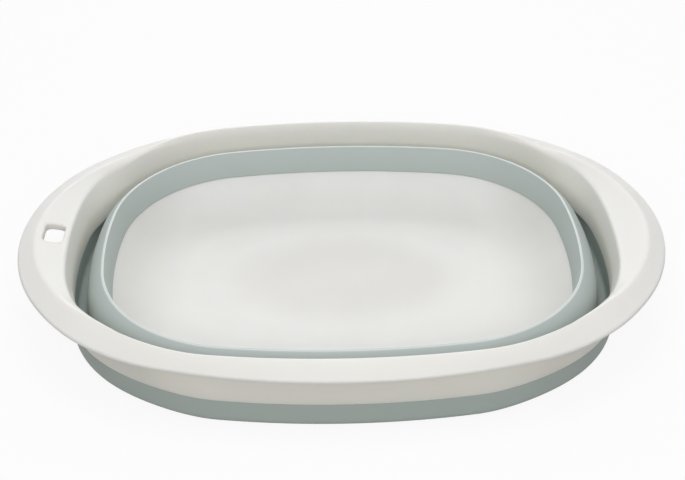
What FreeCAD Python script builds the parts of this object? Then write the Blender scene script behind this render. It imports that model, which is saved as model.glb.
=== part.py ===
"""Folding oval washing-up bowl, pushed flat: a stiff rim, a soft folding wall and a stiff base pan.

The soft wall is one moulding that folds along two living hinges, so it is built as three bands:
the outer band hangs from the rim, the middle band turns over, the inner band stands on the pan.
The origin is on the floor under the middle of the bowl, X runs along it and Z is up.
"""
import FreeCAD
import Part
import math
import os
import re
import Sketcher

from FreeCAD import Vector

SIZES = (
    ("overall_length", 375.0, "length over the lips"),
    ("overall_width", 271.6, "width over the lips"),
    ("lip_corner_radius", 100.0, "plan radius of the lip between side and end"),
    ("lip_end_angle", 66.0, "degrees that the lip's end arc turns away from the long axis"),
    ("lip_side_angle", 73.0, "degrees from the long axis at which the lip's side arc begins"),
    ("lip_end_reach", 31.3, "lip beyond the skirt's inner face at the ends"),
    ("lip_side_reach", 11.0, "lip beyond the skirt's inner face along the sides"),
    ("lip_drop", 5.1, "fall of the lip from the ridge to its edge"),
    ("lip_edge", 2.0, "height of the lip's edge"),
    ("lip_wall", 2.2, "thickness of the lip's edge"),
    ("wall_corner_radius", 99.0, "plan radius of the skirt between side and end"),
    ("wall_end_angle", 7.0, "degrees that the skirt's end arc turns away from the long axis"),
    ("wall_side_angle", 81.4, "degrees from the long axis at which the skirt's side arc begins"),
    ("ridge_height", 45.0, "top of the rim above the floor, bowl pushed flat"),
    ("ridge_width", 2.4, "flat on top of the rim"),
    ("rim_sheet", 2.4, "thickness of the rim's top"),
    ("skirt_wall", 3.0, "thickness of the skirt"),
    ("skirt_depth", 28.2, "depth of the skirt below the ridge"),
    ("ledge_reach", 21.2, "width of the ledge at each end with its crest"),
    ("ledge_setback", 30.8, "half width over the lip less the plan radius of the crest at the ends"),
    ("ledge_fall", 4.2, "fall of the ledge from its crest to the skirt"),
    ("ledge_margin", 0.6, "lip left outside the foot of the ledge's flank"),
    ("hole_length", 12.5, "hanging hole along the bowl"),
    ("hole_width", 20.0, "hanging hole across the bowl"),
    ("hole_round", 4.5, "corner radius of the hanging hole"),
    ("hole_inset", 11.5, "middle of the hanging hole from the skirt's inner face"),
    ("tongue_wall", 0.8, "thickness of the tongues that the soft wall grips"),
    ("tongue_depth", 5.0, "length of the tongues"),
    ("bond_gap", 0.1, "clearance round the tongues and along the seams"),
    ("band_wall", 2.2, "thickness of the soft wall"),
    ("band_recess", 0.7, "step from the skirt in to the outer band"),
    ("valley_height", 2.0, "underside of the lower fold above the floor"),
    ("valley_width", 5.5, "flat floor of the lower fold"),
    ("valley_round", 3.6, "outside rounding of the lower fold"),
    ("fold_gap", 0.4, "parting between the bands at a fold"),
    ("middle_lean", 1.2, "inward lean of the middle band's straight flank"),
    ("middle_flank", 13.6, "height of the middle band's straight flank"),
    ("middle_round", 33.5, "radius of the middle band's shoulder"),
    ("parting_depth", 3.4, "height of the middle band's upper end face"),
    ("crest_height", 36.9, "top of the upper fold above the floor"),
    ("crest_inset", 18.4, "inner edge of the upper fold from the skirt's inner face"),
    ("crest_width", 2.8, "width of the upper fold's bead"),
    ("crest_fall", 1.1, "fall of the bead's top towards the outside"),
    ("crest_round", 1.0, "rounding of the bead's inner edge"),
    ("bead_depth", 3.2, "height of the bead's outer face"),
    ("seam_height", 19.5, "seam between inner band and pan above the floor"),
    ("seam_inset", 22.1, "seam from the skirt's inner face"),
    ("pan_floor", 6.0, "inside floor of the pan above the floor"),
    ("pan_wall", 2.5, "thickness of the pan"),
    ("pan_round", 60.0, "radius of the pan's dish"),
    ("pan_margin", 3.0, "flat border of the dish that carries the floor plate"),
    ("foot_inset", 64.0, "outside of the foot ring from the skirt's inner face"),
    ("foot_width", 4.0, "width of the foot ring"),
)
ALIASES = [alias for alias, _, _ in SIZES]
ENDS = (("left", -1), ("right", 1))

doc = FreeCAD.newDocument("washing_up_bowl")
sheet = doc.addObject("Spreadsheet::Sheet", "Sizes")
for row, (alias, value, meaning) in enumerate(SIZES, start=1):
    sheet.set(f"A{row}", meaning)
    sheet.set(f"B{row}", str(value))
    sheet.setAlias(f"B{row}", alias)
doc.recompute()


def outline(name, half_length, half_width):
    """Half sizes and arc radii of an oval, from its corner radius and the turns where its arcs meet."""
    corner, low, high = f"{name}_corner_radius", f"{name}_end_angle", f"{name}_side_angle"
    along = f"({half_length} - {corner})"
    across = f"({half_width} - {corner})"
    spread = f"(cos({high}) * sin({low}) - (1 - sin({high})) * (1 - cos({low})))"
    side = f"{corner} + ({along} * sin({low}) - {across} * (1 - cos({low}))) / {spread}"
    end = f"{corner} + ({across} * cos({high}) - {along} * (1 - sin({high}))) / {spread}"
    return half_length, half_width, side, end, corner


LIP = outline("lip", "overall_length / 2", "overall_width / 2")
WALL = outline("wall", "overall_length / 2 - lip_end_reach", "overall_width / 2 - lip_side_reach")
WALL_END = WALL[0]

# Heights and outsets that several pieces share, outsets counted outwards from the skirt's inner face
LEDGE_RADIUS = "(overall_width / 2 - ledge_setback)"
LIP_TOP = "(ridge_height - lip_drop)"
SKIRT_FOOT = "(ridge_height - skirt_depth)"
OUTER_FACE = "(skirt_wall - band_recess)"
INNER_FACE = "(skirt_wall - band_recess - band_wall)"
VALLEY_EDGE = "(skirt_wall - band_recess - band_wall - valley_width)"
SKIN = "((band_wall - tongue_wall) / 2)"
BEAD_FACE = "(crest_width - crest_inset)"
BEAD_TOP = "(crest_height - crest_fall)"
DISH_RUN = "sqrt(pan_round ^ 2 - (pan_round - seam_height + pan_floor) ^ 2)"
FLOOR_EDGE = f"(-seam_inset - {DISH_RUN})"


def bound(expression):
    """Expression text with every size read from the sheet."""
    return re.sub(r"\b(" + "|".join(ALIASES) + r")\b", r"Sizes.\1", expression)


def number(expression):
    """Present value of an expression on the sizes."""
    return float(sheet.evalExpression(bound(expression)))


def lean_face(height):
    """Outset of the inner band's inside face at a height, which leans out from seam to crest."""
    share = f"(({height}) - seam_height) / (crest_height - seam_height)"
    return f"((seam_inset - crest_inset) * {share} - seam_inset)"


def new_body(label):
    """Empty body whose label names its piece."""
    body = doc.addObject("PartDesign::Body", label)
    body.Label = label
    return body


def new_sketch(body, name, role="XY_Plane", height=None):
    """Sketch on one of the body's own planes, lifted to a height where one is given."""
    sketch = body.newObject("Sketcher::SketchObject", name)
    plane = next(feature for feature in body.Origin.OriginFeatures if feature.Role == role)
    sketch.AttachmentSupport = (plane, "")
    sketch.MapMode = "FlatFace"
    if height is not None:
        sketch.setExpression("AttachmentOffset.Base.z", bound(height))
    return sketch


def dimension(sketch, kind, *places, size):
    """Driving dimension on the named places of a sketch, bound to the sheet."""
    index = sketch.addConstraint(Sketcher.Constraint(kind, *places, number(size)))
    sketch.setExpression(f"Constraints[{index}]", bound(size))


def quarter_arcs(half_length, half_width, side, end, corner):
    """Centre, radius and span of the end, corner and side arcs of a quarter oval."""
    side_centre = Vector(0, half_width - side, 0)
    end_centre = Vector(half_length - end, 0, 0)
    across = end_centre - side_centre
    gap = across.Length
    along = ((side - corner) ** 2 - (end - corner) ** 2 + gap ** 2) / (2 * gap)
    offset = math.sqrt((side - corner) ** 2 - along ** 2)
    unit = across / gap
    corner_centre = side_centre + unit * along + Vector(-unit.y, unit.x, 0) * -offset
    from_end = corner_centre - end_centre
    from_side = corner_centre - side_centre
    low = math.atan2(from_end.y, from_end.x)
    high = math.atan2(from_side.y, from_side.x)
    return (
        (end_centre, end, 0.0, low),
        (corner_centre, corner, low, high),
        (side_centre, side, high, math.pi / 2),
    )


def add_oval(sketch, outline, outset="0"):
    """Closed oval of tangent arcs, parallel to an outline, set by its length, width and radii."""
    sizes = [f"{size} + ({outset})" for size in outline]
    half_length, half_width, side, end, corner = sizes
    quarter = quarter_arcs(*[number(size) for size in sizes])
    arcs = []
    for turn_x, turn_y in ((1, 1), (-1, 1), (-1, -1), (1, -1)):
        mirrored = turn_x * turn_y < 0
        for centre, radius, low, high in reversed(quarter) if mirrored else quarter:
            place = Vector(centre.x * turn_x, centre.y * turn_y, 0)
            first, last = (high, low) if mirrored else (low, high)
            start = math.atan2(math.sin(first) * turn_y, math.cos(first) * turn_x)
            circle = Part.Circle(place, Vector(0, 0, 1), radius)
            arcs.append(Part.ArcOfCircle(circle, start, start + high - low))
    count = len(arcs)
    base = sketch.GeometryCount
    sketch.addGeometry(arcs, False)
    ends, corners, sides = [[base + i for i in ids] for ids in ((0, 5, 6, 11), (1, 4, 7, 10), (2, 3, 8, 9))]
    rules = [
        Sketcher.Constraint("Tangent", base + i, 2, base + (i + 1) % count, 1) for i in range(count)
    ]
    for group in (ends, corners, sides):
        rules += [Sketcher.Constraint("Equal", group[0], other) for other in group[1:]]
    x_axis, y_axis, origin, centre_point = -1, -2, (-1, 1), 3
    rules += [Sketcher.Constraint("PointOnObject", ends[k], centre_point, x_axis) for k in (0, 2)]
    rules += [Sketcher.Constraint("PointOnObject", sides[k], centre_point, y_axis) for k in (0, 2)]
    rules += [Sketcher.Constraint("PointOnObject", ends[k], 1, x_axis) for k in (0, 2)]
    rules += [Sketcher.Constraint("PointOnObject", sides[k], 2, y_axis) for k in (0, 2)]
    sketch.addConstraint(rules)
    dimension(sketch, "Radius", ends[0], size=end)
    dimension(sketch, "Radius", corners[0], size=corner)
    dimension(sketch, "Radius", sides[0], size=side)
    dimension(sketch, "DistanceX", *origin, ends[0], 1, size=half_length)
    dimension(sketch, "DistanceX", ends[2], 1, *origin, size=half_length)
    dimension(sketch, "DistanceY", *origin, sides[0], 2, size=half_width)
    dimension(sketch, "DistanceY", sides[2], 2, *origin, size=half_width)


def arc_between(start, finish, radius, centre_left):
    """Arc of under a half circle between two points, its centre left or right of the way."""
    chord = finish - start
    rise = math.sqrt(radius ** 2 - (chord.Length / 2) ** 2)
    left = Vector(-chord.y, chord.x, 0) / chord.Length
    centre = (start + finish) / 2 + left * (rise if centre_left else -rise)
    first, last = (start, finish) if centre_left else (finish, start)
    angles = [math.atan2(point.y - centre.y, point.x - centre.x) for point in (first, last)]
    if angles[1] < angles[0]:
        angles[1] += 2 * math.pi
    return Part.ArcOfCircle(Part.Circle(centre, Vector(0, 0, 1), radius), *angles)


def add_profile(sketch, corners):
    """Closed section whose corners are outset and height, with a radius and side where an arc leaves."""
    sizes = [(f"{WALL_END} + ({corner[0]})", corner[1]) for corner in corners]
    points = [Vector(number(outset), number(height), 0) for outset, height in sizes]
    runs = []
    for i, corner in enumerate(corners):
        start, finish = points[i], points[(i + 1) % len(points)]
        if len(corner) == 2:
            runs.append((sketch.addGeometry(Part.LineSegment(start, finish), False), 1, 2))
            continue
        centre_left = corner[3] == "left"
        arc = arc_between(start, finish, number(corner[2]), centre_left)
        runs.append((sketch.addGeometry(arc, False), *((1, 2) if centre_left else (2, 1))))
    joins = []
    for i, (index, _, last) in enumerate(runs):
        after, first, _ = runs[(i + 1) % len(runs)]
        joins.append(Sketcher.Constraint("Coincident", index, last, after, first))
    sketch.addConstraint(joins)
    origin = (-1, 1)
    for (index, first, _), (outset, height), corner in zip(runs, sizes, corners):
        dimension(sketch, "DistanceX", *origin, index, first, size=outset)
        dimension(sketch, "DistanceY", *origin, index, first, size=height)
        if len(corner) > 2:
            dimension(sketch, "Radius", index, size=corner[2])


def feature(body, kind, name, profile, **settings):
    """Feature of a body on a sketch, with settings as they are and sizes bound to the sheet."""
    made = body.newObject(f"PartDesign::{kind}", name)
    made.Profile = profile
    for key, value in settings.items():
        if isinstance(value, str) and key == "Length":
            made.setExpression(key, bound(value))
        else:
            setattr(made, key, value)
    doc.recompute()
    return made


def swept_ring(body, name, corners):
    """Section carried round the skirt's oval."""
    path = new_sketch(body, f"{name}_path")
    add_oval(path, WALL)
    section = new_sketch(body, f"{name}_section", "XZ_Plane")
    add_profile(section, corners)
    return feature(body, "AdditivePipe", name, section, Spine=(path, []))


def oval_ring(body, name, outer, inner, height, length, reverse=False):
    """Upright ring between two outsets of the skirt's oval, raised from a height or hung below it."""
    section = new_sketch(body, f"{name}_section", height=height)
    add_oval(section, WALL, outer)
    add_oval(section, WALL, inner)
    return feature(body, "Pad", name, section, Length=length, Reversed=reverse)


def oval_loft(body, kind, name, upper, lower):
    """Straight-sided loft between two ovals, each an outline, an outset and a height."""
    sections = []
    for place, (outline, outset, height) in (("top", upper), ("foot", lower)):
        section = new_sketch(body, f"{name}_{place}", height=height)
        add_oval(section, outline, outset)
        sections.append(section)
    return feature(body, kind, name, sections[0], Sections=[sections[1]], Ruled=True)


def ledge_cones(body, kind, name, top, foot):
    """Round form on the ledge at each end, between two radii, each with its height."""
    plane = next(feature for feature in body.Origin.OriginFeatures if feature.Role == "XY_Plane")
    for side, direction in ENDS:
        cone = body.newObject(f"PartDesign::{kind}", f"{side}_{name}")
        cone.AttachmentSupport = (plane, "")
        cone.MapMode = "FlatFace"
        middle = f"{direction} * ({WALL_END} + ledge_reach - {LEDGE_RADIUS})"
        cone.setExpression("AttachmentOffset.Base.x", bound(middle))
        cone.setExpression("AttachmentOffset.Base.z", bound(foot[1]))
        cone.setExpression("Radius1", bound(foot[0]))
        cone.setExpression("Radius2", bound(top[0]))
        cone.setExpression("Height", bound(f"{top[1]} - {foot[1]}"))
        doc.recompute()


def add_hanging_hole(sketch):
    """Oblong with rounded corners in the ledge at the left end."""
    far_side = f"{WALL_END} + hole_inset + hole_length / 2"
    near_side = f"{WALL_END} + hole_inset - hole_length / 2"
    left, right = -number(far_side), -number(near_side)
    front, back = -number("hole_width / 2"), number("hole_width / 2")
    radius = number("hole_round")
    lines = (
        (Vector(left + radius, front), Vector(right - radius, front)),
        (Vector(right, front + radius), Vector(right, back - radius)),
        (Vector(right - radius, back), Vector(left + radius, back)),
        (Vector(left, back - radius), Vector(left, front + radius)),
    )
    for i, (start, finish) in enumerate(lines):
        sketch.addGeometry(Part.LineSegment(start, finish), False)
        onward = lines[(i + 1) % len(lines)][0]
        sketch.addGeometry(arc_between(finish, onward, radius, True), False)
    count = 2 * len(lines)
    rules = [Sketcher.Constraint("Tangent", i, 2, (i + 1) % count, 1) for i in range(count)]
    rules += [Sketcher.Constraint("Horizontal", 0), Sketcher.Constraint("Vertical", 2)]
    rules += [Sketcher.Constraint("Horizontal", 4), Sketcher.Constraint("Vertical", 6)]
    rules += [Sketcher.Constraint("Equal", 1, arc) for arc in (3, 5)]
    sketch.addConstraint(rules)
    dimension(sketch, "Radius", 1, size="hole_round")
    dimension(sketch, "DistanceX", 6, 1, -1, 1, size=far_side)
    dimension(sketch, "DistanceX", 2, 1, -1, 1, size=near_side)
    dimension(sketch, "DistanceY", -1, 1, 4, 1, size="hole_width / 2")
    dimension(sketch, "DistanceY", 0, 1, -1, 1, size="hole_width / 2")


def add_lip_form(body, drop="0", inset="0"):
    """Solid lip from ridge to edge with a ledge at each end, let down and drawn in by two sizes."""
    ridge_top = f"(ridge_height - {drop})"
    edge_top = f"({LIP_TOP} - {drop})"
    oval_loft(body, "AdditiveLoft", "lip", (WALL, "ridge_width", ridge_top), (LIP, f"-{inset}", edge_top))
    edge = new_sketch(body, "lip_edge_section", height=edge_top)
    add_oval(edge, LIP, f"-{inset}")
    feature(body, "Pad", "lip_edge", edge, Length="lip_edge", Reversed=True)
    flank_foot = f"(lip_end_reach - ledge_margin - ledge_reach + {LEDGE_RADIUS} - {inset})"
    ledge_cones(body, "AdditiveCone", "ledge", (LEDGE_RADIUS, ridge_top), (flank_foot, edge_top))


def scoop_ledges(body, drop="0"):
    """Shallow dish in each ledge, from inside its crest down towards the skirt, let down by a size."""
    crest = f"({LEDGE_RADIUS} - ridge_width)"
    foot = f"({LEDGE_RADIUS} - ledge_reach - ledge_margin)"
    ridge_top = f"(ridge_height - {drop})"
    ledge_cones(body, "SubtractiveCone", "scoop", (crest, ridge_top), (foot, f"({ridge_top} - ledge_fall)"))


def make_rim():
    """Stiff rim: sloping lip, dished ledge at each end, skirt, hanging hole and a tongue for the wall."""
    core = new_body("rim_core")
    add_lip_form(core, "rim_sheet", "lip_wall")
    scoop_ledges(core, "rim_sheet")
    body = new_body("rim")
    add_lip_form(body)
    hollow = body.newObject("PartDesign::Boolean", "hollow")
    hollow.setObjects([core])
    hollow.Type = "Cut"
    doc.recompute()
    oval_ring(body, "skirt", "skirt_wall", "0", SKIRT_FOOT, "skirt_depth - rim_sheet / 2")
    scoop_ledges(body)
    mouth = new_sketch(body, "mouth_section", height="ridge_height")
    add_oval(mouth, WALL)
    feature(body, "Pocket", "mouth", mouth, Type="ThroughAll")
    hole = new_sketch(body, "hanging_hole_section", height="ridge_height")
    add_hanging_hole(hole)
    feature(body, "Pocket", "hanging_hole", hole, Type="ThroughAll")
    oval_ring(body, "tongue", f"{OUTER_FACE} - {SKIN}", f"{INNER_FACE} + {SKIN}",
              SKIRT_FOOT, "tongue_depth", reverse=True)
    return body


def make_outer_band():
    """Soft band that grips the rim's tongue, hangs from it and turns in as the lower fold's floor."""
    body = new_body("outer_band")
    top = f"({SKIRT_FOOT} - bond_gap)"
    groove_foot = f"({top} - tongue_depth)"
    groove_in = f"({INNER_FACE} + {SKIN} - bond_gap)"
    groove_out = f"({OUTER_FACE} - {SKIN} + bond_gap)"
    fold_round = "(valley_round - band_wall)"
    swept_ring(body, "hanging_band", (
        (VALLEY_EDGE, "valley_height"),
        (f"{OUTER_FACE} - valley_round", "valley_height", "valley_round", "left"),
        (OUTER_FACE, "valley_height + valley_round"),
        (OUTER_FACE, top),
        (groove_out, top),
        (groove_out, groove_foot),
        (groove_in, groove_foot),
        (groove_in, top),
        (INNER_FACE, top),
        (INNER_FACE, "valley_height + valley_round", fold_round, "right"),
        (f"{INNER_FACE} - {fold_round}", "valley_height + band_wall"),
        (VALLEY_EDGE, "valley_height + band_wall"),
    ))
    return body


def make_middle_band():
    """Soft band that rises from the lower fold to the upper one and turns over when the bowl opens."""
    body = new_body("middle_band")
    foot = f"({VALLEY_EDGE} - fold_gap)"
    end = f"({BEAD_FACE} + fold_gap)"
    shoulder = "valley_height + middle_flank"
    end_top = f"({BEAD_TOP} - fold_gap)"
    swept_ring(body, "turning_band", (
        (f"{foot} - band_wall", "valley_height"),
        (foot, "valley_height"),
        (f"{foot} - middle_lean", shoulder, "middle_round", "left"),
        (end, end_top),
        (end, f"{end_top} - parting_depth", "middle_round - band_wall", "right"),
        (f"{foot} - middle_lean - band_wall", shoulder),
    ))
    return body


def make_inner_band():
    """Soft band that grips the pan's tongue and leans out to the bead of the upper fold."""
    body = new_body("inner_band")
    seam = "(seam_height + bond_gap)"
    groove_top = f"({seam} + tongue_depth)"
    bead_foot = f"({BEAD_TOP} - bead_depth)"
    neck = f"({bead_foot} - crest_width / 2)"
    groove_in = f"{SKIN} - bond_gap"
    groove_out = f"{SKIN} + tongue_wall + bond_gap"
    swept_ring(body, "standing_band", (
        (lean_face(seam), seam),
        (f"{lean_face(seam)} + {groove_in}", seam),
        (f"{lean_face(groove_top)} + {groove_in}", groove_top),
        (f"{lean_face(groove_top)} + {groove_out}", groove_top),
        (f"{lean_face(seam)} + {groove_out}", seam),
        (f"{lean_face(seam)} + band_wall", seam),
        (f"{lean_face(neck)} + band_wall", neck),
        (BEAD_FACE, bead_foot),
        (BEAD_FACE, BEAD_TOP),
        ("crest_round - crest_inset", "crest_height", "crest_round", "left"),
        ("-crest_inset", "crest_height - crest_round"),
    ))
    return body


def make_base_pan():
    """Stiff dished pan with a tongue for the wall round its edge and a foot ring under its floor."""
    body = new_body("base_pan")
    tongue_top = "(seam_height + tongue_depth)"
    underside = "(pan_floor - pan_wall)"
    outer_round = "(pan_round + pan_wall)"
    outer_run = f"({DISH_RUN} + band_wall)"
    swept_ring(body, "dish", (
        (f"{FLOOR_EDGE} - pan_margin", underside),
        (FLOOR_EDGE, underside, outer_round, "left"),
        ("band_wall - seam_inset", f"pan_floor + pan_round - sqrt({outer_round} ^ 2 - {outer_run} ^ 2)"),
        ("band_wall - seam_inset", "seam_height"),
        (f"{SKIN} + tongue_wall - seam_inset", "seam_height"),
        (f"{lean_face(tongue_top)} + {SKIN} + tongue_wall", tongue_top),
        (f"{lean_face(tongue_top)} + {SKIN}", tongue_top),
        (f"{SKIN} - seam_inset", "seam_height"),
        ("-seam_inset", "seam_height", "pan_round", "right"),
        (FLOOR_EDGE, "pan_floor"),
        (f"{FLOOR_EDGE} - pan_margin", "pan_floor"),
    ))
    plate = new_sketch(body, "floor_plate_section", height=underside)
    add_oval(plate, WALL, f"{FLOOR_EDGE} - pan_margin / 2")
    feature(body, "Pad", "floor_plate", plate, Length="pan_wall")
    oval_ring(body, "foot_ring", "-foot_inset", "-foot_inset - foot_width", "0", "pan_floor - pan_wall / 2")
    return body


pieces = [make_rim(), make_outer_band(), make_middle_band(), make_inner_band(), make_base_pan()]
doc.recompute()

for item in doc.Objects:
    if "Invalid" in item.State or "Error" in item.State:
        raise RuntimeError(f"{item.Label} failed: {item.State}")
for piece in pieces:
    if piece.Shape.isNull() or not piece.Shape.isValid() or len(piece.Shape.Solids) != 1:
        raise RuntimeError(f"{piece.Label} is not one valid solid")

os.makedirs("parts", exist_ok=True)
for piece in pieces:
    piece.Shape.exportStep(f"parts/{piece.Label}.step")
    box = piece.Shape.BoundBox
    print(f"{piece.Label}: {piece.Shape.Volume / 1000:.1f} cm3, Z {box.ZMin:.2f} to {box.ZMax:.2f}")
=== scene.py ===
"""Folding washing-up bowl, pushed flat: white rim and base pan, and a grey-green wall in three bands.

Each moulded piece is a section of outsets and heights carried round an oval. An outset is a distance
outwards from the skirt's inner face, and a height is counted from the floor."""

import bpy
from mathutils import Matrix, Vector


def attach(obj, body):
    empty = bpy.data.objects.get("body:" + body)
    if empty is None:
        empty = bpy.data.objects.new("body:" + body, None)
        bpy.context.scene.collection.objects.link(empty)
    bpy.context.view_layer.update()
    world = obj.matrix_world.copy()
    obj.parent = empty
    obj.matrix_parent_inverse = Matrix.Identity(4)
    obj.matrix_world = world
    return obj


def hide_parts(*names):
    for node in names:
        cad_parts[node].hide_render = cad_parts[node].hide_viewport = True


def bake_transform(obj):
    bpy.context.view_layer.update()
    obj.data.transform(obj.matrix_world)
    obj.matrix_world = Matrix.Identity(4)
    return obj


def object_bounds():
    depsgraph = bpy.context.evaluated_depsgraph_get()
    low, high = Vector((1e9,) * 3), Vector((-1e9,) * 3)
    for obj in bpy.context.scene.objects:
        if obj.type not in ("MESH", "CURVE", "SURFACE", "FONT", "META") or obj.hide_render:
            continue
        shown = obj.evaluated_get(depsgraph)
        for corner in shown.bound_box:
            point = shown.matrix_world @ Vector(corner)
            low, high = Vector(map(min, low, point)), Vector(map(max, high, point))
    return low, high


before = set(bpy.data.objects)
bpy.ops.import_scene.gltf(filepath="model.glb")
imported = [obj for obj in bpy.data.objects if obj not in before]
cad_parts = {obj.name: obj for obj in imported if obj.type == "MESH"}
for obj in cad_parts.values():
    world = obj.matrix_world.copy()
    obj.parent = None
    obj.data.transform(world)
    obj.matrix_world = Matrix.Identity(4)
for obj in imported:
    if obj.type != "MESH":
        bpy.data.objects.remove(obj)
CAD_BOX = [list(corner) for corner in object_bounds()]

from math import cos, pi, radians, sin

import bmesh
import bpy
import numpy as np
from bpy.props import FloatProperty, FloatVectorProperty, IntProperty, PointerProperty
from mathutils import Matrix, Vector

bl_info = {
    "name": "Folding washing-up bowl",
    "version": (1, 0, 0),
    "blender": (4, 5, 0),
    "location": "3D View > Sidebar > Bowl",
    "description": "Dresses the folding washing-up bowl and sets up its studio",
    "category": "Object",
}

MM = 0.001

# Width of the picture in pixels, which the camera's shifts are shares of
IMAGE_WIDTH = 685

# Points along a rounding, and places of the points between two roundings as shares of that stretch
BEND_STEPS = 8
RUN_SHARES = (0.05, 0.25, 0.5, 0.75, 0.95)

# Share of its length that a rounding keeps, so that two that meet on a side stay apart
TOUCH_SHARE = 0.98

# Points closer than this are one point
MERGE_DISTANCE = 1e-7

# Mesh attribute that says how much painted highlight a point gets along the rounded crests
HIGHLIGHT_ATTRIBUTE = "edge"

# Rings of faces in the flat middle of the pan, above and below
PLATE_RINGS = 8

# Points round the hanging hole, and the steps, turn and clearance of the cutter's flares
HOLE_STEPS = 96
FLARE_STEPS = 7
FLARE_TURN = radians(78)
CUTTER_CLEARANCE = 4 * MM

# Shares of the ledge's full width between which the rim goes from the form of its sides to that of its ends
SIDE_TO_END = (0, 0.5)
FLARE_RISE = (0, 5 / 12)
LEDGE_FALL_RISE = (0, 0.4)

# Sines of the normal's direction, 0 at the ends and 1 on the sides, between which the rim's form changes
LEAN_RISE = (0, 0.5)
SAG_RISE = (0.5, 0.65)
SAG_FADE = (0.7, 0.9)
SIDE_FALL_RISE = (0.72, 0.96)

# Steps to the wall's other face, outwards and upwards in wall thicknesses
SHOULDER_STEP = (-0.9, -0.5)
MIDDLE_CREST_STEP = (0.5, -1)
INNER_CREST_STEP = (0.7, -0.8)

# Heights between which the skirt's painted warm shade gives way to the ledges' colour, and the painted shade
# of the folds to the crest's colour
SKIRT_SHADE_HEIGHTS = (30 * MM, 42 * MM)
FOLD_SHADE_HEIGHTS = (14 * MM, 37 * MM)

# Half length and half width of the pale ring of painted light on the pan, and where along the bowl painted
# shade darkens the pan's ends
LIT_RING_HALF_LENGTH = 95 * MM
LIT_RING_HALF_WIDTH = 62 * MM
SHADED_PAN_ENDS = (88 * MM, 128 * MM)

# Squared distances from the pan's middle, in sizes of the ring, where the ring begins and where it fades
RING_START = (0.15, 0.7)
RING_FADE = (1.0, 2.2)

# How much painted shade the pan gets inside the ring, outside it and, besides, at the ends
INSIDE_SHADE = 0.65
OUTSIDE_SHADE = 0.4
ENDS_SHADE = 0.8

# What clouds and grain add to the roughness
PLASTIC_UNEVENNESS = (0.06, 0.05)
RUBBER_UNEVENNESS = (0.08, 0.08)

# Sockets of a Mix node for colours, whose names are shared with its sockets for numbers
MIX_FACTOR = 0
MIX_FIRST = 6
MIX_SECOND = 7
MIX_RESULT = 2

WHITE = (1, 1, 1, 1)


def length(name, millimetres, description):
    """Length property with its default in millimetres."""
    return FloatProperty(name=name, description=description, default=millimetres * MM, unit="LENGTH")


def angle(name, degrees, description):
    """Angle property with its default in degrees."""
    return FloatProperty(name=name, description=description, default=radians(degrees), subtype="ANGLE")


def share(name, value, description):
    """Property from 0 to 1."""
    return FloatProperty(name=name, description=description, default=value, min=0, max=1, subtype="FACTOR")


def pixels(name, value, description):
    """Property in pixels of the picture."""
    return FloatProperty(name=name, description=description, default=value, subtype="PIXEL")


def power(name, watts, description):
    """Lamp power property."""
    return FloatProperty(name=name, description=description, default=watts, unit="POWER")


def colour(name, value, description):
    """Linear colour property."""
    return FloatVectorProperty(name=name, description=description, default=value, size=3, subtype="COLOR")


class BowlPlan(bpy.types.PropertyGroup):
    """Sizes of the bowl seen from above."""

    lip_length: length("Length", (CAD_BOX[1][0] - CAD_BOX[0][0]) / MM, "Length over the lip")
    lip_width: length("Width", (CAD_BOX[1][1] - CAD_BOX[0][1]) / MM, "Width over the lip")
    lip_corner: length("Lip corner", 100, "Corner radius of the lip")
    lip_end_angle: angle("Lip end angle", 66, "Turn of the lip's end arc from the long axis")
    lip_side_angle: angle("Lip side angle", 73, "Turn at which the lip's side arc begins")
    wall_end_inset: length("End inset", 31.3, "Lip's edge to the skirt's inner face at the ends")
    wall_side_inset: length("Side inset", 11, "Lip's edge to the skirt's inner face at the sides")
    wall_corner: length("Wall corner", 99, "Corner radius of the skirt's inner face")
    wall_end_angle: angle("Wall end angle", 7, "Turn of the skirt's end arc from the long axis")
    wall_side_angle: angle("Wall side angle", 81.4, "Turn at which the skirt's side arc begins")
    corner_dip: length("Corner dip", 2.3, "How much further in the bowl's foot lies at the corners")
    quarter_steps: IntProperty(name="Steps", description="Rows of faces in a quarter", default=140)


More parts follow.
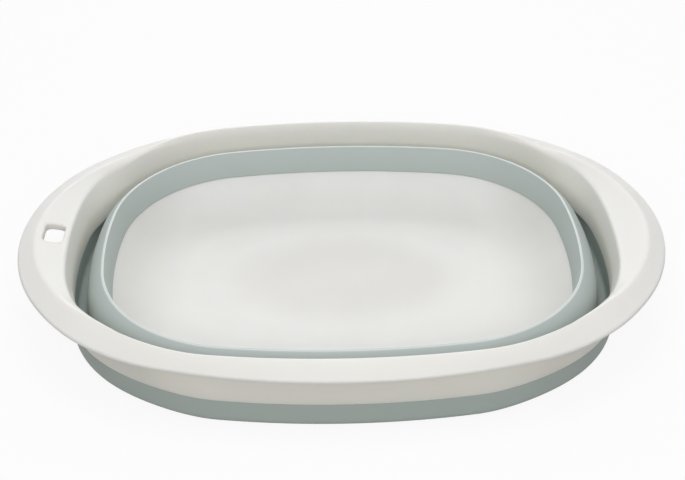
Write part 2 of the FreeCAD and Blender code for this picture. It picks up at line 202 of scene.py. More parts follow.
class RimSizes(bpy.types.PropertyGroup):
    """Sizes of the stiff rim."""

    height: length("Height", CAD_BOX[1][2] / MM, "Crest above the floor")
    sheet: length("Sheet", 2.4, "Thickness of the lip and ledges")
    side_crest: length("Side crest", -0.2, "Outset of the crest on the long sides")
    crest_blend: length("Crest blend", 3, "Width over which side crest and end crest run together")
    crest_sag: length("Crest sag", 1.5, "How much lower the crest lies at the corners")
    crest_round: length("Crest rounding", 0.7, "Rounding of the crest on the long sides")
    end_crest_round: length("End crest rounding", 5, "Rounding of the crest at the ends")
    ledge_reach: length("Ledge reach", 21, "Skirt's inner face to the crest at the ends")
    ledge_radius: length("Ledge radius", 105, "Plan radius of the crest at the ends")
    least_fall: length("Least fall", 0.5, "Least fall from the crest to the ledge's inner edge")
    ledge_fall: length("Ledge fall", 3.1, "How much more the ledge falls at the ends")
    side_fall: length("Side fall", 5.7, "How much more the ledge falls on the long sides")
    ledge_flare: length("Ledge flare", 2.7, "Lean of the skirt to the ledge's inner edge at the ends")
    ledge_round: length("Ledge rounding", 3.4, "Rounding of the ledge's inner edge at the ends")
    side_round: length("Side rounding", 16, "Rounding of the ledge's inner edge on the long sides")
    side_inset: length("Side inset", 1, "How much further in that edge lies on the long sides")
    least_sheet: share("Least sheet", 0.6, "Share of the sheet that is left under that edge")
    lip_drop: length("Lip drop", 5.1, "Crest down to the lip's upper edge at the ends")
    side_drop: length("Side drop", 6.3, "Crest down to the lip's upper edge on the long sides")
    lip_edge: length("Lip edge", 1.9, "Height of the lip's edge")
    lip_round: length("Lip rounding", 2.2, "Rounding of the lip's upper edge at the ends")
    side_lip_round: length("Side lip rounding", 1.8, "Rounding of that edge on the long sides")
    lip_foot_round: length("Lip foot rounding", 0.5, "Rounding of the lip's lower edge")
    lip_room: length("Lip room", 1.5, "Least room between the lip's edge and the skirt")
    crest_room: length("Crest room", 1.2, "Least distance from the skirt to the bend under the crest")
    skirt_wall: length("Skirt wall", 3, "Thickness of the skirt under the ledge")
    skirt_swell: length("Skirt swell", 5.5, "How much thicker the skirt is under the lip on the long sides")
    skirt_lean: length("Skirt lean", 3.4, "How much further in the skirt's foot lies, but for the ends")
    skirt_foot: length("Skirt foot", 16.8, "Foot of the skirt above the floor")
    foot_face: length("Foot face", 3.7, "Outset of the skirt's outside at its foot")
    foot_round: length("Foot rounding", 1.2, "Rounding of the skirt's outside at its foot")
    skirt_waist: length("Skirt waist", 27, "Height at which the skirt bends")
    waist_share: share("Waist share", 0.45, "Share of the way from foot to top that it leans up to there")
    waist_round: length("Waist rounding", 30, "Rounding of that bend")
    fillet: length("Fillet", 2, "Rounding between lip and skirt, underneath")
    fine_round: length("Fine rounding", 0.4, "Rounding of the edges that are out of sight")
    hole_length: length("Hole length", 11.4, "Hanging hole along the bowl, between its rounded edges")
    hole_width: length("Hole width", 18.8, "Hanging hole across the bowl, between its rounded edges")
    hole_corner: length("Hole corner", 4, "Corner radius of the hanging hole")
    hole_inset: length("Hole inset", 11.5, "Skirt's inner face to the middle of the hanging hole")
    hole_round: length("Hole rounding", 0.7, "Rounding of the hanging hole's edges")
    collar_wall: length("Collar wall", 1.8, "Thickness of the collar under the hanging hole")
    collar_depth: length("Collar depth", 4.6, "Ledge's top to the foot of that collar")
    collar_bevel: length("Collar bevel", 0.3, "Bevel of that collar's foot")


class BandSizes(bpy.types.PropertyGroup):
    """Sizes of the soft folding wall."""

    wall: length("Wall", 2.2, "Thickness of the soft wall")
    end_round: length("End rounding", 0.3, "Rounding of the bands' ends")
    outer_face: length("Outer face", 2.2, "Outset of the outer band's outside at its top")
    outer_swell: length("Outer swell", 1, "How much further out its foot lies on the long sides")
    end_share: share("End share", 0.3, "Share of that swell by which it lies further in at the ends")
    outer_top: length("Outer top", 16.7, "Top of the outer band")
    valley_floor: length("Valley floor", 2, "Underside of the lower fold")
    valley_width: length("Valley width", 6.5, "Clear width of the lower fold at its floor")
    valley_round: length("Valley rounding", 3.6, "Outside rounding of the lower fold")
    shoulder_outset: length("Shoulder outset", -8.6, "Outset of the middle band's shoulder")
    shoulder_height: length("Shoulder height", 29, "Height of the middle band's shoulder")
    shoulder_round: length("Shoulder rounding", 32, "Rounding of the middle band's shoulder")
    crest_outset: length("Crest outset", -18.4, "Outset of the crest, the wall's inner edge")
    crest_height: length("Crest height", 36.9, "Height of the crest")
    crest_round: length("Crest rounding", 0.7, "Rounding of the crest")
    crest_depth: length("Crest depth", 4.6, "Height over which middle and inner band lie together")
    crest_gap: length("Crest gap", 0.05, "How much lower the inner band's crest lies")
    heel_round: length("Heel rounding", 2, "Rounding of the inner band where that height ends")
    seam_outset: length("Seam outset", -22.1, "Outset of the seam between inner band and pan")
    seam_height: length("Seam height", 19.5, "Height of that seam")
    seam_gap: length("Seam gap", 0.1, "Gap of that seam")


class PanSizes(bpy.types.PropertyGroup):
    """Sizes of the stiff base pan."""

    floor: length("Floor", 6, "Inside floor above the ground")
    wall: length("Wall", 2.5, "Thickness of the pan")
    dish_round: length("Dish", 60, "Radius of the dish between floor and seam")
    seam_round: length("Seam rounding", 0.3, "Rounding of the pan's upper edges")
    foot_outset: length("Foot outset", -64, "Outset of the foot ring's outside")
    foot_width: length("Foot width", 4, "Width of the foot ring")
    foot_round: length("Foot rounding", 0.9, "Rounding of the foot ring's edges")
    foot_fillet: length("Foot fillet", 0.8, "Rounding between foot ring and pan")
    foot_draught: length("Foot draught", 0.3, "How much the foot ring narrows on each side")
    plate_outset: length("Plate outset", -75, "Outset at which the flat middle of the floor begins")


class BowlFinish(bpy.types.PropertyGroup):
    """Colours and surfaces of the bowl."""

    plastic: colour("Plastic", (0.82, 0.81, 0.785), "White plastic of the lip and ledges")
    # Painted shade: the skirt's warmer colour stands in for the shade under the lip and the light that comes
    # through the thin plastic
    plastic_warm_shade: colour("Deep plastic", (0.84, 0.83, 0.765), "Warmer plastic of the skirt")
    # Painted highlight: a paler colour along the rim's crest stands in for light catching the rounded edge
    plastic_highlight: colour("Plastic edge", (0.97, 0.965, 0.955), "Paler plastic along the rim's crest")
    # The pan's colour on its pale ring is painted light, a pool of light on the floor
    pan: colour("Pan", (0.87, 0.857, 0.822), "White plastic of the pan's pale ring")
    # Painted shade on the pan's ends
    pan_shade_colour: colour("Deep pan", (0.68, 0.669, 0.636), "Duller plastic of the pan's ends")
    plastic_mottle: share("Plastic mottling", 0.3, "Share of the plastic's colour that is cloudy")
    plastic_crest_highlight: share("Plastic crest", 0.8, "How fully the crest takes its paler colour")
    plastic_roughness: share("Plastic roughness", 0.4, "Satin of the plastic")
    rubber: colour("Rubber", (0.475, 0.53, 0.52), "Soft grey-green rubber at the crest")
    # Painted shade: darker rubber low down in the folds, where less light reaches
    rubber_shade_colour: colour("Deep rubber", (0.395, 0.45, 0.425), "Soft rubber low down in the folds")
    # Painted highlight: paler rubber along the bent crest stands in for light catching it
    rubber_highlight: colour("Rubber bloom", (0.88, 0.92, 0.91), "Paler rubber along the bent crest")
    rubber_mottle: share("Rubber mottling", 0.2, "Share of the rubber's colour that is cloudy")
    rubber_crest_highlight: share("Rubber crest", 0.85, "How fully the crest takes its paler colour")
    rubber_roughness: share("Rubber roughness", 0.52, "Matt of the rubber")


class StudioSettings(bpy.types.PropertyGroup):
    """Camera, lamps and floor."""

    distance: length("Distance", 800, "Camera to the middle of the rim")
    elevation: angle("Elevation", 33, "Camera above the horizon")
    azimuth: angle("Azimuth", -0.98, "Camera round the bowl")
    roll: angle("Roll", -0.6, "Camera turned on its own axis")
    lens: FloatProperty(name="Lens", description="Focal length", default=72, unit="CAMERA")
    shift_right: pixels("Shift right", 1, "How far left of the picture's middle the bowl stands")
    shift_up: pixels("Shift up", -16, "How far below the picture's middle the bowl stands")
    top_watts: power("Top lamp", 1.85, "Power of the lamp above")
    front_watts: power("Front lamp", 6.0, "Power of the lamp in front")
    back_watts: power("Back lamp", 6.2, "Power of the lamp behind")
    surround: share("Surround", 0.39, "Strength of the light from all round")
    floor: colour("Floor", (0.9, 0.9, 0.895), "Pale floor")
    floor_bounce: colour("Floor bounce", (0.42, 0.41, 0.395), "Colour that the floor lights the bowl with")
    floor_glow: share("Floor glow", 0.9, "How much of what the camera sees of the floor is plain white")
    floor_half: length("Floor half", 3000, "Half the side of the floor")
    floor_drop: length("Floor drop", 0.2, "How far below the bowl's foot the floor lies")


class BowlSettings(bpy.types.PropertyGroup):
    """All settings of the bowl."""

    plan: PointerProperty(type=BowlPlan)
    rim: PointerProperty(type=RimSizes)
    bands: PointerProperty(type=BandSizes)
    pan: PointerProperty(type=PanSizes)
    finish: PointerProperty(type=BowlFinish)
    studio: PointerProperty(type=StudioSettings)


class Oval:
    """Closed oval of tangent arcs, with an end, a corner and a side arc in each quarter.

    The corner's radius and the two turns at which the arcs meet are given. The end's and the side's
    radius follow from the half length and the half width."""

    def __init__(self, half_length, half_width, corner, end_angle, side_angle):
        along, across = half_length - corner, half_width - corner
        spread = cos(side_angle) * sin(end_angle) - (1 - sin(side_angle)) * (1 - cos(end_angle))
        side = corner + (along * sin(end_angle) - across * (1 - cos(end_angle))) / spread
        end = corner + (across * cos(side_angle) - along * (1 - sin(side_angle))) / spread
        inward = end - corner
        corner_middle = (half_length - end + inward * cos(end_angle), inward * sin(end_angle))
        self.turns = np.array([end_angle, side_angle])
        self.radii = np.array([end, corner, side])
        self.middles = np.array([(half_length - end, 0), corner_middle, (0, half_width - side)])

    def angles(self, steps):
        """Directions of the normals at points spaced evenly along the arcs, once round from the +X end."""
        stops = np.concatenate([[0], self.turns, [pi / 2]])
        lengths = np.concatenate([[0], np.cumsum(self.radii * np.diff(stops))])
        quarter = np.interp(np.linspace(0, lengths[-1], steps + 1), lengths, stops)
        half = np.concatenate([quarter[:-1], pi - quarter[:0:-1]])
        return np.concatenate([half, half + pi])

    def points(self, angles, outset):
        """Points whose normals have these directions, moved outwards along them."""
        across, up = np.cos(angles), np.sin(angles)
        arc = np.searchsorted(self.turns, np.arctan2(np.abs(up), np.abs(across)))
        reach = self.radii[arc] + outset
        x = np.sign(across) * self.middles[arc, 0] + reach * across
        y = np.sign(up) * self.middles[arc, 1] + reach * up
        return x, y

    def distance(self, x, y):
        """How far points lie outside the oval: their distance from their arc's middle, less its radius."""
        x, y = np.abs(x), np.abs(y)
        arc = np.searchsorted(self.turns, np.arctan2(y - self.middles[1, 1], x - self.middles[1, 0]))
        return np.hypot(x - self.middles[arc, 0], y - self.middles[arc, 1]) - self.radii[arc]


def wall_oval(plan):
    """Oval of the skirt's inner face, which every outset is counted from."""
    return Oval(
        plan.lip_length / 2 - plan.wall_end_inset,
        plan.lip_width / 2 - plan.wall_side_inset,
        plan.wall_corner, plan.wall_end_angle, plan.wall_side_angle,
    )


def lip_oval(plan):
    """Oval of the lip's edge."""
    return Oval(
        plan.lip_length / 2,
        plan.lip_width / 2,
        plan.lip_corner, plan.lip_end_angle, plan.lip_side_angle,
    )


def outset_to(oval, angles, distance, strides=40):
    """Outset along an oval's normals at which a distance is zero: each stride goes as far as is left."""
    outset = np.zeros_like(angles)
    for _ in range(strides):
        outset -= distance(*oval.points(angles, outset))
    return outset


def corner_dip(plan, angles):
    """Dip of the bowl's foot at its corners: sine to the sixth times cosine squared, over its own peak."""
    peak = 27 / 256
    return plan.corner_dip * np.sin(angles) ** 6 * np.cos(angles) ** 2 / peak


def ramp(value, low, high):
    """Rises from 0 to 1 between two values, as 3 s squared less 2 s cubed for the share s of the way."""
    way = np.clip((value - low) / (high - low), 0, 1)
    return way * way * (3 - 2 * way)


def smooth_larger(first, second, blend):
    """Larger of two values, with the change from one to the other rounded off as a hyperbola."""
    return (first + second + np.sqrt((first - second) ** 2 + blend ** 2)) / 2


def corners_of(*corners):
    """Points, radii and painted highlights of corners that each give outset, height, radius and painted
    highlight.

    Each of these is one number, or an array with one for each row of the piece."""
    columns = [np.stack(np.broadcast_arrays(*values), axis=-1) for values in zip(*corners)]
    outsets, heights, radii, painted_highlight = np.broadcast_arrays(*columns)
    return np.stack([outsets, heights], axis=-1), radii, painted_highlight


def rounded(points, radii, painted_highlight):
    """Closed section with rounded corners, and how much painted highlight each of its points gets, from 0 to
    1.

    A corner becomes a quadratic curve that begins and ends where a circle of its radius would touch the
    two sides, or sooner where two roundings would meet on a side. Each side left between two roundings
    has a few points of its own. For s from 0 to 1 along a rounding, its painted highlight is shared out as
    the square of 4 s times 1 less s."""
    forward = np.roll(points, -1, axis=-2) - points
    side = np.linalg.norm(forward, axis=-1)
    onward = forward / side[..., None]
    backward = -np.roll(onward, 1, axis=-2)
    opening = np.arccos(np.clip(np.sum(onward * backward, axis=-1), -1, 1))
    touch = radii / np.tan(opening / 2)
    room = side / np.maximum(touch + np.roll(touch, -1, axis=-1), side)
    touch = TOUCH_SHARE * touch * np.minimum(room, np.roll(room, 1, axis=-1))
    first = points + backward * touch[..., None]
    last = points + onward * touch[..., None]
    step = np.linspace(0, 1, BEND_STEPS)[:, None]
    bend = (1 - step) ** 2 * first[..., None, :] + step ** 2 * last[..., None, :]
    bend = bend + 2 * step * (1 - step) * points[..., None, :]
    way = np.array(RUN_SHARES)[:, None]
    run = (1 - way) * last[..., None, :] + way * np.roll(first, -1, axis=-2)[..., None, :]
    section = np.concatenate([bend, run], axis=-2)
    ridge = (4 * step[:, 0] * (1 - step[:, 0])) ** 2
    # Painted highlight along each rounding, none on the straight runs
    edge = painted_highlight[..., None] * np.concatenate([ridge, np.zeros(len(RUN_SHARES))])
    rows = points.shape[:-2]
    return section.reshape(*rows, -1, 2), edge.reshape(*rows, -1)


def carried(plan, section):
    """Section of outsets and heights carried round the skirt's inner face, as a grid of points."""
    wall = wall_oval(plan)
    angles = wall.angles(plan.quarter_steps)
    section = np.broadcast_to(section, (len(angles), *section.shape[-2:]))
    x, y = wall.points(angles[:, None], section[..., 0])
    return np.stack([x, y, section[..., 1]], axis=-1)


def grid_object(name, grid, edge, ring=True):
    """Smooth mesh object from a grid whose rows go round the bowl and whose columns go along the section.

    A ring's last column joins its first. Otherwise both end columns are single points, the poles."""
    rows, columns = grid.shape[:2]
    index = np.arange(rows * columns).reshape(rows, columns)
    if ring:
        index = np.concatenate([index, index[:, :1]], axis=1)
    after = np.roll(index, -1, axis=0)
    faces = np.stack([index[:, :-1], after[:, :-1], after[:, 1:], index[:, 1:]], axis=-1)
    mesh = bpy.data.meshes.new(name)
    mesh.from_pydata(grid.reshape(-1, 3), [], faces.reshape(-1, 4))
    edge = np.broadcast_to(edge, (rows, columns)).astype(np.float32)
    mesh.attributes.new(HIGHLIGHT_ATTRIBUTE, "FLOAT", "POINT").data.foreach_set("value", edge.ravel())
    shell = bmesh.new()
    shell.from_mesh(mesh)
    bmesh.ops.remove_doubles(shell, verts=shell.verts, dist=MERGE_DISTANCE)
    bmesh.ops.recalc_face_normals(shell, faces=shell.faces)
    shell.to_mesh(mesh)
    shell.free()
    mesh.polygons.foreach_set("use_smooth", np.ones(len(mesh.polygons), dtype=bool))
    piece = bpy.data.objects.new(name, mesh)
    bpy.context.scene.collection.objects.link(piece)
    return piece


def rim_section(plan, rim):
    """Section of the rim at each row: up the skirt, over ledge and crest, down the lip and back beneath.

    The crest lies at the skirt on the long sides and runs into a circle at the ends. The ledge between
    skirt and crest is wide and nearly level at the ends, and narrow and steep on the long sides."""
    wall = wall_oval(plan)
    angles = wall.angles(plan.quarter_steps)
    middle = plan.lip_length / 2 - plan.wall_end_inset + rim.ledge_reach - rim.ledge_radius

    def beyond_crest(x, y):
        return np.hypot(np.abs(x) - middle, y) - rim.ledge_radius

    crest = smooth_larger(outset_to(wall, angles, beyond_crest), rim.side_crest, rim.crest_blend)
    lip = outset_to(wall, angles, lip_oval(plan).distance)
    width = (crest - rim.side_crest) / rim.ledge_reach
    upright = np.abs(np.sin(angles))
    side = 1 - ramp(width, *SIDE_TO_END)

    def between(at_ends, at_sides):
        return at_ends + (at_sides - at_ends) * side

    def at_waist(foot, top):
        return foot + rim.waist_share * (top - foot)

    flare = rim.ledge_flare * ramp(width, *FLARE_RISE)
    lean = rim.skirt_lean * ramp(upright, *LEAN_RISE)
    inset = rim.side_inset * side
    crest_top = rim.height - rim.crest_sag * ramp(upright, *SAG_RISE) * (1 - ramp(upright, *SAG_FADE))
    end_fall = rim.ledge_fall * ramp(width, *LEDGE_FALL_RISE)
    side_fall = rim.side_fall * ramp(upright, *SIDE_FALL_RISE)
    inner_edge = crest_top - rim.least_fall - end_fall - side_fall
    lip_top = rim.height - between(rim.lip_drop, rim.side_drop)
    lip_foot = lip_top - rim.lip_edge
    lip_inside = lip - between(rim.sheet, rim.sheet / 2)
    skirt_face = np.minimum(rim.skirt_wall + flare + rim.skirt_swell * side, lip_inside - rim.lip_room)
    foot_face = rim.foot_face - corner_dip(plan, angles)
    under_crest = np.maximum(crest, skirt_face + rim.crest_room)
    lip_slope = (crest_top - lip_top) / (lip - crest)
    under_height = crest_top - rim.sheet - lip_slope * (under_crest - crest)
    skirt_top = np.minimum(under_height, inner_edge - rim.least_sheet * rim.sheet)
    return rounded(*corners_of(
        (-lean, rim.skirt_foot, rim.fine_round, 0),
        (at_waist(-lean, -inset), rim.skirt_waist, rim.waist_round, 0),
        (flare - inset, inner_edge, between(rim.ledge_round, rim.side_round), 0),
        # The crest's painted highlight is full on the long sides and fades out at the ends
        (crest, crest_top, between(rim.end_crest_round, rim.crest_round), side),
        (lip, lip_top, between(rim.lip_round, rim.side_lip_round), 0),
        (lip, lip_foot, rim.lip_foot_round, 0),
        (lip_inside, lip_foot, rim.fine_round, 0),
        (under_crest, under_height, rim.fillet, 0),
        (skirt_face, skirt_top, rim.fillet, 0),
        (at_waist(foot_face, skirt_face - flare), rim.skirt_waist, rim.waist_round, 0),
        (foot_face, rim.skirt_foot, rim.foot_round, 0),
    ))


def oblong_object(name, plan, rim, outset, height):
    """Closed oblong at the hanging hole, from outsets and heights listed from its foot to its top.

    Its points are the middles of the oblong's corners plus a turning radius. Its heights are counted
    from the ledge's top and follow the ledge's slope. Its first and last ring are drawn in to a point."""
    turn = ((np.arange(HOLE_STEPS) + 0.5) * 2 * pi / HOLE_STEPS)[:, None]
    across, up = np.cos(turn), np.sin(turn)
    drawn = np.concatenate([[0], np.ones(len(outset)), [0]])
    radius = rim.hole_corner + np.concatenate([outset[:1], outset, outset[-1:]])
    height = np.concatenate([height[:1], height, height[-1:]])
    x = drawn * ((rim.hole_length / 2 - rim.hole_corner) * np.sign(across) + radius * across)
    y = drawn * ((rim.hole_width / 2 - rim.hole_corner) * np.sign(up) + radius * up)
    slope = (rim.least_fall + rim.ledge_fall) / (rim.ledge_reach - rim.ledge_flare)
    z = rim.height - slope * (rim.ledge_reach - rim.hole_inset + x) + height
    x = x - (plan.lip_length / 2 - plan.wall_end_inset + rim.hole_inset)
    return grid_object(name, np.stack([x, y, z], axis=-1), np.zeros(len(height)), ring=False)


def hole_collar(plan, rim):
    """Collar round the hanging hole, as a block from inside the ledge's sheet down to the collar's foot."""
    wall, bevel, foot = rim.collar_wall, rim.collar_bevel, -rim.collar_depth
    outset = np.array([wall - bevel, wall, wall])
    height = np.array([foot, foot + bevel, -rim.sheet / 2])
    return oblong_object("hole_collar", plan, rim, outset, height)


def hole_cutter(plan, rim):
    """Cutter for the hanging hole, which flares above and below in arcs, as the hole's rounded edges do."""
    turn = np.linspace(0, FLARE_TURN, FLARE_STEPS)
    widen = rim.hole_round * (1 - np.cos(turn))
    sink = rim.hole_round * (1 - np.sin(turn))
    foot = -rim.collar_depth
    outset = np.concatenate([widen[-1:], widen[::-1], widen, widen[-1:]])
    height = np.concatenate([[foot - CUTTER_CLEARANCE], foot + sink[::-1], -sink, [CUTTER_CLEARANCE]])
    return oblong_object("hole_cutter", plan, rim, outset, height)


def combine(piece, tool, operation):
    """Joins a tool to a piece or cuts it out of it for good, and removes the tool."""
    change = piece.modifiers.new("change", "BOOLEAN")
    change.operation = operation
    change.solver = "EXACT"
    change.object = tool
    whole = piece.data
    changed = piece.evaluated_get(bpy.context.evaluated_depsgraph_get())
    piece.data = bpy.data.meshes.new_from_object(changed)
    piece.modifiers.clear()
    bpy.data.meshes.remove(whole)
    bpy.data.meshes.remove(tool.data)
    piece.data.name = piece.name


def fold_outsets(plan, bands):
    """Outsets at each row: the outer band's inside at top and foot, the lower fold, and the flank's foot.

    The outer band's foot swells out by the sine squared of the normal's direction, less a share of its
    cosine squared."""
    angles = wall_oval(plan).angles(plan.quarter_steps)
    outer_top = bands.outer_face - bands.wall - corner_dip(plan, angles)
    swell = np.sin(angles) ** 2 - bands.end_share * np.cos(angles) ** 2
    outer_foot = outer_top + bands.outer_swell * swell
    return outer_top, outer_foot, outer_foot - bands.valley_width / 2, outer_foot - bands.valley_width


def through_wall(bands, outset, height, step):
    """Outset and height on the wall's other face, by a step in wall thicknesses."""
    return outset + step[0] * bands.wall, height + step[1] * bands.wall


def outer_band_section(plan, bands):
    """Section of the band that hangs from the skirt and turns in as the outer half of the lower fold."""
    outer_top, outer_foot, fold, _ = fold_outsets(plan, bands)
    bottom = bands.valley_floor
    return rounded(*corners_of(
        (outer_top + bands.wall, bands.outer_top, bands.end_round, 0),
        (outer_foot + bands.wall, bottom, bands.valley_round, 0),
        (fold, bottom, 0, 0),
        (fold, bottom + bands.wall, 0, 0),
        (outer_foot, bottom + bands.wall, bands.valley_width / 2, 0),
        (outer_top, bands.outer_top, bands.end_round, 0),
    ))


def middle_band_section(plan, bands):
    """Section of the band that rises from the lower fold and bends over its shoulder to the crest."""
    _, _, fold, flank = fold_outsets(plan, bands)
    bottom = bands.valley_floor
    shoulder = (bands.shoulder_outset, bands.shoulder_height)
    crest = (bands.crest_outset, bands.crest_height)
    return rounded(*corners_of(
        (fold, bottom + bands.wall, 0, 0),
        (flank, bottom + bands.wall, bands.valley_width / 2, 0),
        (*shoulder, bands.shoulder_round, 0),
        # The crest gets the full painted highlight
        (*crest, bands.crest_round, 1),
        (*through_wall(bands, *crest, MIDDLE_CREST_STEP), bands.end_round, 0),
        (*through_wall(bands, *shoulder, SHOULDER_STEP), bands.shoulder_round, 0),
        (flank - bands.wall, bottom, bands.valley_round, 0),
        (fold, bottom, 0, 0),
    ))


def inner_band_section(bands):
    """Section of the band that stands on the pan's seam and leans outwards up to the crest."""
    lean = (bands.crest_outset - bands.seam_outset) / (bands.crest_height - bands.seam_height)
    foot = bands.seam_height + bands.seam_gap
    back = bands.seam_outset + bands.wall
    heel = bands.crest_height - bands.crest_depth
    crest = (bands.crest_outset, bands.crest_height)
    return rounded(*corners_of(
        (bands.seam_outset, foot, bands.end_round, 0),
        (bands.crest_outset, bands.crest_height - bands.crest_gap, bands.crest_round, 1),
        (*through_wall(bands, *crest, INNER_CREST_STEP), bands.end_round, 0),
        (back + lean * (heel - bands.seam_height), heel, bands.heel_round, 0),
        (back, foot, bands.end_round, 0),
    ))


def pan_grid(plan, bands, pan):
    """Grid of the pan, from the middle of its floor out over the dish to the seam and back beneath.

    The flat middle is the oval at the plate's outset, drawn in to a point. The rest is a section carried
    round the bowl, whose dish is an arc that touches the floor and meets the seam."""
    climb = bands.seam_height - pan.floor
    slope = np.arccos(1 - climb / pan.dish_round)
    dish_start = bands.seam_outset - pan.dish_round * np.sin(slope)
    dish_corner = dish_start + pan.dish_round * np.tan(slope / 2)
    under = pan.floor - pan.wall
    outer_round = pan.dish_round + pan.wall
    outer_corner = dish_start + outer_round * np.tan(slope / 2)
    foot_inner = pan.foot_outset - pan.foot_width
    section, edge = rounded(*corners_of(
        (pan.plate_outset, pan.floor, 0, 0),
        (dish_corner, pan.floor, pan.dish_round, 0),
        (bands.seam_outset, bands.seam_height, pan.seam_round, 0),
        (bands.seam_outset + bands.wall, bands.seam_height, pan.seam_round, 0),
        (outer_corner, under, outer_round, 0),
        (pan.foot_outset, under, pan.foot_fillet, 0),
        (pan.foot_outset - pan.foot_draught, 0, pan.foot_round, 0),
        (foot_inner + pan.foot_draught, 0, pan.foot_round, 0),
        (foot_inner, under, pan.foot_fillet, 0),
        (pan.plate_outset, under, 0, 0),
    ))
    closing_run = len(RUN_SHARES)
    grid, edge = carried(plan, section)[:, :-closing_run], edge[:-closing_run]
    drawn = np.linspace(0, 1, PLATE_RINGS, endpoint=False)[None, :, None]
    plate = grid[:, :1] * drawn
    belly = grid[:, -1:] * drawn[:, ::-1]
    plate[..., 2] = pan.floor
    belly[..., 2] = under
    blank = np.zeros(PLATE_RINGS)
    return np.concatenate([plate, grid, belly], axis=1), np.concatenate([blank, edge, blank])


class Socket:
    """Output socket in a material's node tree. Arithmetic with it adds Math nodes."""

    def __init__(self, tree, output=None):
        self.tree = tree
        self.output = output

    def add(self, kind, settings, inputs):
        """Adds a node of a type, applies its settings, then fills or links its sockets."""
        node = self.tree.nodes.new(kind)
        for name, value in settings.items():
            setattr(node, name, value)
        for name, value in inputs.items():
            if isinstance(value, Socket):
                self.tree.links.new(value.output, node.inputs[name])
            else:
                node.inputs[name].default_value = value
        return node

    def node(self, kind, settings=None, inputs=None, output=0):
        """Output of an added node."""
        return Socket(self.tree, self.add(kind, settings or {}, inputs or {}).outputs[output])

    def finish(self, kind, shader):
        """Joins a shader to an output node."""
        self.add(kind, {}, {"Surface": shader})

    def math(self, operation, first, second):
        """Result of a Math node."""
        return self.node("ShaderNodeMath", {"operation": operation}, {0: first, 1: second})

    def __add__(self, other):
        return self.math("ADD", self, other)

    def __radd__(self, other):
        return self.math("ADD", other, self)

    def __sub__(self, other):
        return self.math("SUBTRACT", self, other)

    def __rsub__(self, other):
        return self.math("SUBTRACT", other, self)

    def __mul__(self, other):
        return self.math("MULTIPLY", self, other)

    def __rmul__(self, other):
        return self.math("MULTIPLY", other, self)

    def mixed(self, first, second):
        """Mix of two colours by this value."""
        inputs = {MIX_FACTOR: self, MIX_FIRST: first, MIX_SECOND: second}
        return self.node("ShaderNodeMix", {"data_type": "RGBA"}, inputs, MIX_RESULT)


def opaque(rgb):
    """Colour with full alpha."""
    return (*rgb, 1.0)


def new_material(name):
    """Empty material, and a socket helper on its node tree."""
    material = bpy.data.materials.new(name)
    material.use_nodes = True
    material.node_tree.nodes.clear()
    return material, Socket(material.node_tree)


def noise(tree, place, size, detail):
    """Cloudy noise from 0 to 1 whose clouds are about as wide as a size in metres."""
    return tree.node("ShaderNodeTexNoise", {}, {"Vector": place, "Scale": 1 / size, "Detail": detail})


def textures(tree, cloud_size, grain_size):
    """Place on the piece, clouds, grain and the painted highlight share that its mesh holds, as sockets."""
    place = tree.node("ShaderNodeTexCoord", output="Object")
    clouds = noise(tree, place, cloud_size, detail=3.0)
    grain = noise(tree, place, grain_size, detail=2.0)
    edge = tree.node("ShaderNodeAttribute", {"attribute_name": HIGHLIGHT_ATTRIBUTE}, output="Fac")
    return place, clouds, grain, edge


def along_axis(place, axis):
    """Coordinate of a place along an axis, in metres."""
    return place.node("ShaderNodeSeparateXYZ", {}, {"Vector": place}, axis)


def eased(value, low, high):
    """How far a value lies between two others, from 0 to 1, with level ends."""
    inputs = {"Value": value, "From Min": low, "From Max": high}
    return value.node("ShaderNodeMapRange", {"interpolation_type": "SMOOTHSTEP"}, inputs)


def uneven(roughness, clouds, grain, unevenness):
    """Roughness with what clouds and grain add to it."""
    return roughness + clouds * unevenness[0] + grain * unevenness[1]


def surface(tree, base, roughness, grain, depth, constants):
    """Principled shader with a bump from a grain, joined to the material's output."""
    normal = tree.node("ShaderNodeBump", {}, {"Height": grain, "Distance": depth, "Strength": 1.0})
    inputs = {"Base Color": base, "Roughness": roughness, "Normal": normal, **constants}
    tree.finish("ShaderNodeOutputMaterial", tree.node("ShaderNodeBsdfPrincipled", {}, inputs))


def skirt_shade_share(place):
    """Share of painted warm shade: 1 on the rim's skirt, 0 on its ledges and lip."""
    return 1 - eased(along_axis(place, "Z"), *SKIRT_SHADE_HEIGHTS)


def painted_pan_shade(place):
    """Share of painted shade on the pan: 0 on a pale ring of painted light on its floor, more inside and
    outside it, and about 1 at the ends.

    The ring is an ellipse: x over its half length and y over its half width, squared and added, give 1."""
    along, across = along_axis(place, "X"), along_axis(place, "Y")
    along, across = along * along, across * across
    outward = along * (1 / LIT_RING_HALF_LENGTH ** 2) + across * (1 / LIT_RING_HALF_WIDTH ** 2)
    inside = 1 - eased(outward, *RING_START)
    outside = eased(outward, *RING_FADE)
    ends = eased(along, *(distance ** 2 for distance in SHADED_PAN_ENDS))
    return inside * INSIDE_SHADE + outside * OUTSIDE_SHADE + ends * ENDS_SHADE


